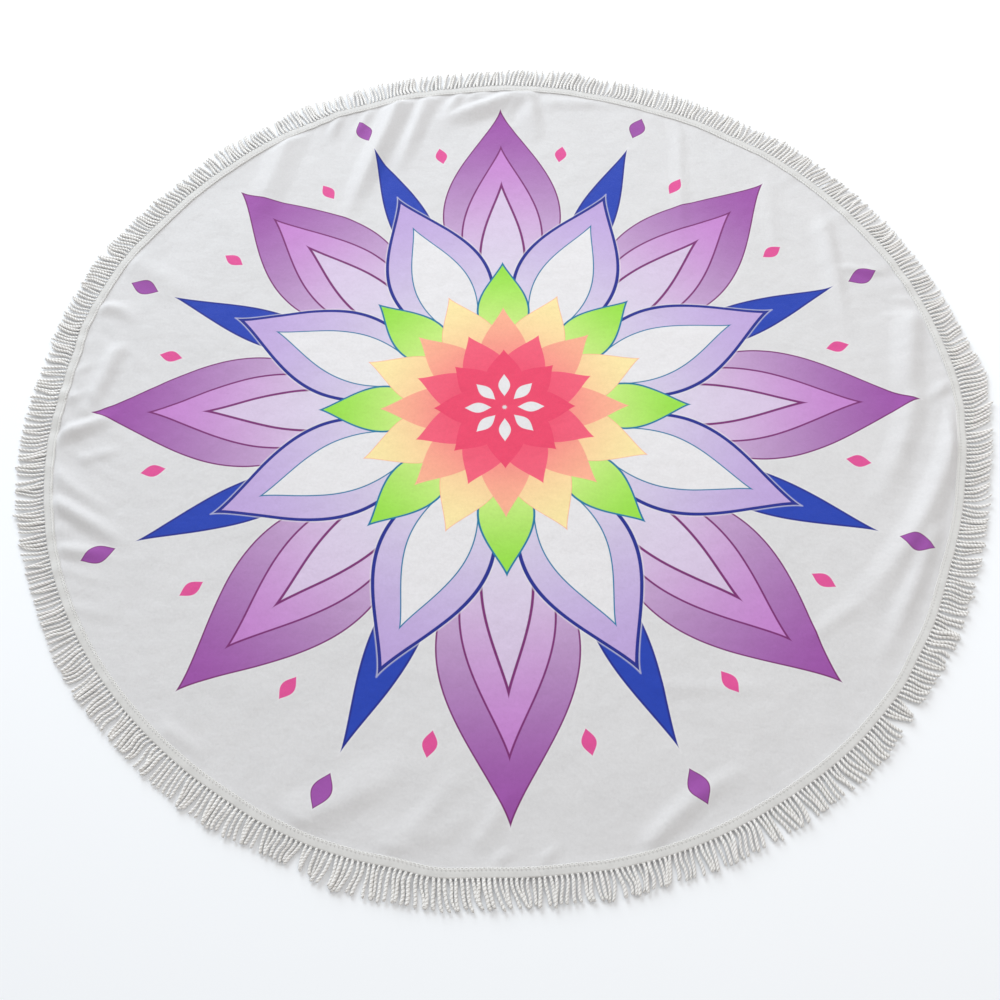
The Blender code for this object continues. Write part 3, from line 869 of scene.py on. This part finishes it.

# %% [markdown]
# The tape is a plain weave: ribs across it, which are its thick threads, and finer threads along it. Two
# rows of needle holes run beside its inner edge. Holes cut into the strip would take far too many faces, so
# they are dents in the finish, with shade painted into them. All of it is drawn on the strip's flat
# coordinates and so follows its bend.

# %% The tape's finish
RIB_PITCH = 0.0012
LONG_THREAD_PITCH = 0.0016
STITCH_PITCH = 0.0056
NEEDLE_ROWS = (0.0010, 0.0038)  # from the tape's inner edge
HOLE_RADIUS = 0.0009
HOLE_REACH = 1.5  # of that radius, out to where a hole's dent ends
# painted shade in the needle holes: how far it takes the cotton towards grey
HOLE_SHADE_STRENGTH = 0.6
TAPE_FUZZ = 700.0  # to the metre
TAPE_MOTTLE = 90.0  # to the metre
RIB_TONE, FUZZ_TONE, MOTTLE_TONE = 0.25, 0.25, 0.7  # how far each of them takes its grey to its white
TAPE_RELIEF = 0.0003
RIB_RELIEF, LONG_THREAD_RELIEF, FUZZ_RELIEF, MOTTLE_RELIEF, HOLE_RELIEF = 0.3, 0.2, 0.3, 0.4, 0.6  # of that
TAPE_ROUGHNESS = (0.82, 0.94)
TAPE_GREY = srgb(191, 190, 188)
TAPE_WHITE = srgb(221, 220, 218)
HOLE_SHADE_GREY = srgb(160, 159, 157)


def ripples(finish, place, pitch):
    """0 to 1 and back in every pitch."""
    return finish.maths("SINE", place * (2.0 * math.pi / pitch)) * 0.5 + 0.5


def needle_holes(finish, along, across):
    """1 in a needle hole and 0 away from them all."""
    to_stitch = finish.maths("PINGPONG", along, STITCH_PITCH / 2)
    holes = []
    for row in NEEDLE_ROWS:
        aside = across - row
        away = finish.maths("SQRT", to_stitch * to_stitch + aside * aside)
        holes.append(finish.clamp(HOLE_REACH - away / HOLE_RADIUS))
    return finish.clamp(sum(holes))


def finish_tape():
    """Off-white cotton tape: ribs, long threads, a mottle, and two rows of needle holes."""
    finish = Finish("woven cotton tape", Sheen_Weight=0.40, Specular_IOR_Level=0.25)
    along, across = finish.unrolled("along the tape")
    along, across = along * EDGE_LENGTH, across * TAPE_WIDTH
    ribs = ripples(finish, along, RIB_PITCH)
    long_threads = ripples(finish, across, LONG_THREAD_PITCH)
    hole = needle_holes(finish, along, across)
    fuzz = finish.noise(TAPE_FUZZ)
    mottle = finish.noise(TAPE_MOTTLE, detail=4.0)
    tone = ribs * RIB_TONE + fuzz * FUZZ_TONE + mottle * MOTTLE_TONE
    cotton = finish.blend(TAPE_GREY, TAPE_WHITE, tone)
    # painted shade in the needle holes: the cotton is darkened towards grey there
    finish.colour(finish.blend(cotton, HOLE_SHADE_GREY, hole * HOLE_SHADE_STRENGTH))
    finish.roughness(*TAPE_ROUGHNESS, fuzz)
    relief = RIB_RELIEF * ribs + LONG_THREAD_RELIEF * long_threads + FUZZ_RELIEF * fuzz
    relief += MOTTLE_RELIEF * mottle - HOLE_RELIEF * hole
    finish.raise_up(relief, TAPE_RELIEF)
    return finish.material


tape = make_tape()

# %% [markdown]
# ## The cords
#
# Each cord is two plies of cotton twisted together. Two thin tubes wound round each other would need several
# times the faces. Seen from any side such a cord is broad where its plies lie side by side and slim where
# one hides the other, and an oval section that turns as it goes along has just that outline. So a cord is a
# short grid rolled into an oval tube, twisted, and closed at its ends. It is slim where it is sewn in, and
# it tapers at its tip.

# %% One cord
CORD_COUNT = 636
CORD_SIDES = 6
CORD_TURNS = 4
CORD_ROWS = 4 * CORD_TURNS  # each turn shows two beads, and each bead has two rows
CORD_WIDTH = 0.0049
PLY_DEPTH = 0.13  # how much broader and slimmer than that it looks as its plies turn
ROOT_GIRTH = 0.80  # of that width
ROOT_SWELL = 0.22
SWELL_SHARE = 0.30  # of its length, over which it swells by that much
TIP_TAPER = 0.35
TIP_SHARE = 0.06  # of its length, over which its tip tapers by that much
SEAM_REACH = 1e-6  # points of the rolled grid that are nearer than this become one


def roll_cord():
    """One straight cord from the origin along +Y, 1 long, its section in X and Z."""
    bm = bmesh.new()
    bm.loops.layers.uv.new("round the cord")
    bmesh.ops.create_grid(bm, x_segments=CORD_SIDES, y_segments=CORD_ROWS, size=0.5, calc_uvs=True)
    for vert in bm.verts:
        around, along = 2.0 * math.pi * (vert.co.x + 0.5), vert.co.y + 0.5
        swell = ROOT_GIRTH + ROOT_SWELL * ease(along / SWELL_SHARE)
        swell *= 1.0 - TIP_TAPER * ease((along - (1.0 - TIP_SHARE)) / TIP_SHARE)
        plies = 1.0 + PLY_DEPTH * math.cos(2.0 * around + 4.0 * math.pi * CORD_TURNS * along)
        radius = CORD_WIDTH / 2 * swell * plies
        vert.co = (radius * math.cos(around), along, radius * math.sin(around))
    bmesh.ops.remove_doubles(bm, verts=bm.verts[:], dist=SEAM_REACH)
    bmesh.ops.holes_fill(bm, edges=bm.edges[:], sides=0)
    bmesh.ops.recalc_face_normals(bm, faces=bm.faces[:])
    return bm


print(CORD_COUNT, "cords,", round(1000.0 * EDGE_LENGTH / CORD_COUNT, 1), "mm apart")

# %% [markdown]
# Hundreds of cords as objects of their own would be slow to handle. An Array modifier repeats the one cord
# in a long straight row instead, and the row becomes one mesh. Each copy's points are then moved to that
# copy's own place. The loops of the sewing are laid in the same way.

# %% Rows of copies
ARRAY_STEP = 1.0


def row_of(bm, count):
    """count copies of the bmesh, ARRAY_STEP apart along X, made by an Array modifier."""
    mesh = bpy.data.meshes.new("one of a row")
    bm.to_mesh(mesh)
    bm.free()
    first = bpy.data.objects.new("one of a row", mesh)
    scene.collection.objects.link(first)
    array = first.modifiers.new("row", "ARRAY")
    array.count = count
    array.use_relative_offset = False
    array.use_constant_offset = True
    array.constant_offset_displace = (ARRAY_STEP, 0.0, 0.0)
    copies = bmesh.new()
    copies.from_object(first, bpy.context.evaluated_depsgraph_get())
    bpy.data.objects.remove(first)
    return copies


def place_copies(bm, place):
    """Moves each point of each copy to place(copy's number, point within the copy)."""
    for vert in bm.verts:
        number = round(vert.co.x / ARRAY_STEP)
        vert.co = place(number, vert.co - Vector((number * ARRAY_STEP, 0.0, 0.0)))


print("copies stand", ARRAY_STEP, "m apart until they are placed")

# %% [markdown]
# No two cords lie alike. They lean one way along one stretch of the edge and the other way along the next,
# close up in bunches, part where the towel was dragged, and cross their neighbours here and there. The big
# leans come from the edge's table, and noise and seeded chance add the rest, so that every run gives the
# same.

# %% How the cords have fallen
LEAN_MORE = 1.6  # single cords lean over one another, more than the solid's locks can
BUNCHES = 0.55  # to the degree
BUNCH_LEAN = 0.0095
BENDS = 0.16  # to the degree
BEND_ASIDE = 0.006
BUNCH_SLICE, BOW_SLICE, CURL_SLICE = 7.0, 3.0, 13.0  # of the noise, so that the three don't repeat each other
CHANCE_SEED = 11
DRIFT_KEPT = 0.6  # of one cord's drift, that the next one shares
DRIFT_SPREAD = 0.0015
ASIDE_SPREAD = 0.0022
BOW_SPREAD = 0.0005
CURL_SHARE = 0.5  # of the bow, how strong the curl is
CURL_SPREAD = 0.0004
LENGTH_SPREAD = 0.0012
GIRTH_SPREAD = 0.09

# The cords part at degrees, by spread to either side, and are back together within reach_degrees.
Parting = namedtuple("Parting", "degrees spread reach_degrees")
PARTINGS = (
    Parting(171.0, 0.0050, 3.0),
    Parting(-112.0, 0.0060, 2.5),
    Parting(-45.0, 0.0055, 2.5),
    Parting(-25.0, 0.0055, 2.5),
    Parting(-15.0, 0.0045, 2.5),
    Parting(60.0, 0.0035, 3.0),
    Parting(124.0, 0.0045, 3.0),
)

# Aside is how far a tip lies to the side of its root. A bow bends the cord once and a curl twice. Lift and
# phase go from 0 to 1: how high it lies over its neighbours, and where in its twist it starts.
CordPath = namedtuple("CordPath", "turned_by aside bow curl length girth lift phase")


def lean(degrees):
    """How far the cords' tips lie to the side, along the edge, of their roots."""
    shift = LEAN_MORE * edge_shift(degrees, "lean")
    for parting in PARTINGS:
        away = turned(degrees - parting.degrees)
        shift += math.copysign(parting.spread, away) * math.exp(-abs(away) / parting.reach_degrees)
    return shift


def cord_paths():
    """The CordPath of each cord, from the fringe's first end round to its last."""
    chance = random.Random(CHANCE_SEED)
    paths = []
    drift = 0.0
    for number in range(CORD_COUNT):
        turned_by = 360.0 * (number + 0.5) / CORD_COUNT
        degrees = JOIN_DEGREES + turned_by
        drift = DRIFT_KEPT * drift + chance.gauss(0.0, DRIFT_SPREAD)
        bunch = BUNCH_LEAN * noise.noise((degrees * BUNCHES, 0.0, BUNCH_SLICE))
        aside = lean(degrees) + bunch + drift + chance.gauss(0.0, ASIDE_SPREAD)
        bow = BEND_ASIDE * noise.noise((degrees * BENDS, 0.0, BOW_SLICE)) + chance.gauss(0.0, BOW_SPREAD)
        curl = CURL_SHARE * BEND_ASIDE * noise.noise((degrees * BENDS, 0.0, CURL_SLICE))
        curl += chance.gauss(0.0, CURL_SPREAD)
        length = TOWEL_RADIUS + edge_shift(degrees, "tip_shift") - tape_outer_radius(degrees)
        length += chance.gauss(0.0, LENGTH_SPREAD)
        girth = 1.0 + chance.gauss(0.0, GIRTH_SPREAD)
        paths.append(CordPath(turned_by, aside, bow, curl, length, girth, chance.random(), chance.random()))
    return paths


paths = cord_paths()
print("cords from", round(1000.0 * min(path.length for path in paths)), "to",
      round(1000.0 * max(path.length for path in paths)), "mm long")

# %% [markdown]
# Cotton yarn is off-white and soft. Its fibres show as a fine slanting relief, and little light reaches the
# groove between the plies, so the finish is darker there. The groove is found from the tube's own flat
# coordinates, where it is a straight slanting line.

# %% The cords' finish
GROOVE_SPACING = 0.5  # of a turn, as there are two plies
GROOVE_SHARPNESS = 6.4
GROOVE_SHADE_STRENGTH = 0.6
CORD_FUZZ = 900.0  # to the metre
CORD_MOTTLE = 40.0  # to the metre
FIBRES_ALONG, FIBRES_AROUND = 120.0, 12.0
CORD_RELIEF = 0.0004
CORD_FUZZ_SHARE = 0.6  # of the fine relief. The rest is fibres
CORD_ROUGHNESS = (0.80, 0.95)
COTTON = srgb(234, 232, 229)
PALE_COTTON = srgb(254, 252, 250)
# painted shade for the grooves between the plies, where little light reaches
GROOVE_SHADE_GREY = srgb(166, 162, 157)


def finish_cords():
    """Off-white cotton yarn, with shade painted into the grooves between the plies."""
    finish = Finish("twisted cotton", Sheen_Weight=0.2, Specular_IOR_Level=0.25)
    around, along = finish.unrolled("round the cord")
    turns = around + along * CORD_TURNS
    off_groove = finish.maths("PINGPONG", turns - GROOVE_SPACING / 2, GROOVE_SPACING / 2)
    groove = finish.clamp(1.0 - GROOVE_SHARPNESS * off_groove)
    fuzz = finish.noise(CORD_FUZZ)
    mottle = finish.noise(CORD_MOTTLE)
    yarn = finish.blend(COTTON, PALE_COTTON, (fuzz + mottle) * 0.5)
    # painted shade: the yarn is darkened towards grey in the groove between the plies
    finish.colour(finish.blend(yarn, GROOVE_SHADE_GREY, groove * GROOVE_SHADE_STRENGTH))
    finish.roughness(*CORD_ROUGHNESS, fuzz)
    fibres = finish.maths("SINE", along * FIBRES_ALONG + around * FIBRES_AROUND)
    grain = CORD_FUZZ_SHARE * fuzz + (1.0 - CORD_FUZZ_SHARE) * fibres
    finish.raise_up(grain - groove, CORD_RELIEF)
    return finish.material


print("the grooves are", GROOVE_SHADE_STRENGTH, "of the way from cotton to grey")

# %% [markdown]
# Each cord is now laid along its path: out from under the tape, down to the floor, and off to one side. It
# is pressed flat where the tape holds it, and its height over the floor grows with its girth, so that it
# rests on the floor and never sinks into it.

# %% Laying the cords
UNDER_TAPE = 0.0008  # how far a cord's root reaches in under the tape
ROOT_RISE = 0.4  # of the tape's thickness, from its underside up to the root's middle
DOWN_SHARE = 0.45  # of a cord's length, over which it comes down to the floor
CORD_FLAT = 0.85  # its height against its width, as it lies
ROOT_FLAT = 0.45  # how much flatter it is pressed where it is sewn in
ROOT_SHARE = 0.32  # of its length, until it is as round as the rest
CORD_LIFT = 0.0022  # by which one may lie over its neighbours
LEAN_GROWTH = 1.7  # the power of the way along a cord at which its lean grows


def height_of_middle(path, along, rest):
    """The cord's middle over the floor, where rest is the height under the tape at its root."""
    down = ease(along / DOWN_SHARE)
    floor_height = CORD_FLAT * CORD_WIDTH / 2 * (1.0 + PLY_DEPTH) * path.girth + CORD_LIFT * path.lift
    return (rest + TAPE_THICKNESS * ROOT_RISE) * (1.0 - down) + floor_height * down


def swerve(path, along):
    """How far the cord's middle lies to the side of a straight line out from its root."""
    bowed = path.aside * along**LEAN_GROWTH + path.bow * math.sin(math.pi * along)
    return bowed + path.curl * math.sin(2.0 * math.pi * along)


def on_cord(number, point):
    """Where a point of the straight cord lies on the fallen one."""
    path, along = paths[number], point.y
    degrees, root_radius, rest = tape_rest(path.turned_by, 1.0)
    radius = root_radius - UNDER_TAPE + (path.length + UNDER_TAPE) * along
    middle = on_plan(degrees, radius, height_of_middle(path, along, rest))
    across = on_plan(degrees + 90.0, 1.0)
    turn = Matrix.Rotation(2.0 * math.pi * path.phase, 3, "Y")
    section = turn @ Vector((point.x, 0.0, point.z)) * path.girth
    flat = CORD_FLAT * (ROOT_FLAT + (1.0 - ROOT_FLAT) * ease(along / ROOT_SHARE))
    return middle + across * (swerve(path, along) - section.x) + Vector((0.0, 0.0, section.z * flat))


def make_cords():
    """All the cords as one piece."""
    bm = row_of(roll_cord(), CORD_COUNT)
    place_copies(bm, on_cord)
    cords = new_piece("twisted_cords", bm, finish_cords())
    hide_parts("fringe")
    return cords


cords = make_cords()

# %% [markdown]
# ## The sewing
#
# A raised chain of loops runs along the tape's inner edge, where it was stitched down. Relief alone would
# cast no shadow, so each loop is a piece of thread: a thin ring pulled long, with few faces, that is
# repeated round the edge. Each lies a little over the next.

# %% One loop of thread
LOOP_SIDES = 8
LOOP_RADIUS = 0.0013
LOOP_STRETCH = 1.6  # its length against its width
THREAD_SIDES = 4
THREAD_RADIUS = 0.00052


def bend_loop():
    """One loop of thread, a thin ring pulled long along +Y."""
    bm = bmesh.new()
    bmesh.ops.create_circle(bm, segments=THREAD_SIDES, radius=THREAD_RADIUS)
    bmesh.ops.rotate(bm, verts=bm.verts[:], matrix=Matrix.Rotation(math.pi / 2, 3, "X"))
    bmesh.ops.translate(bm, verts=bm.verts[:], vec=(LOOP_RADIUS, 0.0, 0.0))
    bmesh.ops.spin(
        bm, geom=bm.verts[:] + bm.edges[:], cent=(0, 0, 0), axis=(0, 0, 1), angle=2.0 * math.pi,
        steps=LOOP_SIDES, use_merge=True,
    )
    bmesh.ops.scale(bm, verts=bm.verts[:], vec=(1.0, LOOP_STRETCH, 1.0))
    bmesh.ops.recalc_face_normals(bm, faces=bm.faces[:])
    return bm


print("a loop is", round(2000.0 * LOOP_STRETCH * (LOOP_RADIUS + THREAD_RADIUS), 1), "mm long")

# %% The chain
CHAIN_COUNT = round(EDGE_LENGTH / STITCH_PITCH)
CHAIN_SHARE = 0.07  # of the tape's width, out from its inner edge
CHAIN_RISE = 0.0002
LOOP_TILT = 0.0003  # by which each loop climbs over the next
THREAD_FUZZ = 1500.0  # to the metre
THREAD_RELIEF = 0.0002
THREAD_ROUGHNESS = (0.70, 0.90)
THREAD_GREY = srgb(230, 229, 227)
THREAD_WHITE = srgb(250, 249, 247)


def on_chain(number, point):
    """Where a point of the flat loop lies on the chain."""
    degrees, radius, height = tape_rest(360.0 * (number + 0.5) / CHAIN_COUNT, CHAIN_SHARE)
    tilt = LOOP_TILT * point.y / STITCH_PITCH
    spot = on_plan(degrees, radius - point.x, height + TAPE_THICKNESS + CHAIN_RISE + point.z + tilt)
    return spot + on_plan(degrees + 90.0, point.y)


def finish_thread():
    """White sewing thread with a faint fuzz."""
    finish = Finish("sewing thread", Sheen_Weight=0.1, Specular_IOR_Level=0.3)
    fuzz = finish.noise(THREAD_FUZZ)
    finish.colour(finish.blend(THREAD_GREY, THREAD_WHITE, fuzz))
    finish.roughness(*THREAD_ROUGHNESS, fuzz)
    finish.raise_up(fuzz, THREAD_RELIEF)
    return finish.material


def make_chain():
    """All the loops as one piece. It isn't in the solids, so it stands in for none of them."""
    bm = row_of(bend_loop(), CHAIN_COUNT)
    place_copies(bm, on_chain)
    chain = new_piece("chain_stitching", bm, finish_thread())
    return chain


chain = make_chain()

# %% [markdown]
# ## The floor
#
# The towel lies on a plain pale floor, wide enough that no edge of it shows. It only sets the stage and
# isn't attached to the towel.

# %% Floor
FLOOR_SIDE = 12.0
FLOOR_WHITE = srgb(243, 245, 248)


def lay_floor():
    """A square of matt floor round the towel."""
    bm = bmesh.new()
    bmesh.ops.create_grid(bm, x_segments=1, y_segments=1, size=FLOOR_SIDE / 2)
    mesh = bpy.data.meshes.new("floor")
    bm.to_mesh(mesh)
    bm.free()
    finish = Finish("pale floor", Roughness=0.9, Specular_IOR_Level=0.1)
    finish.colour(FLOOR_WHITE)
    mesh.materials.append(finish.material)
    floor = bpy.data.objects.new("floor", mesh)
    scene.collection.objects.link(floor)
    return floor


floor = lay_floor()
print("floor:", FLOOR_SIDE, "m across")
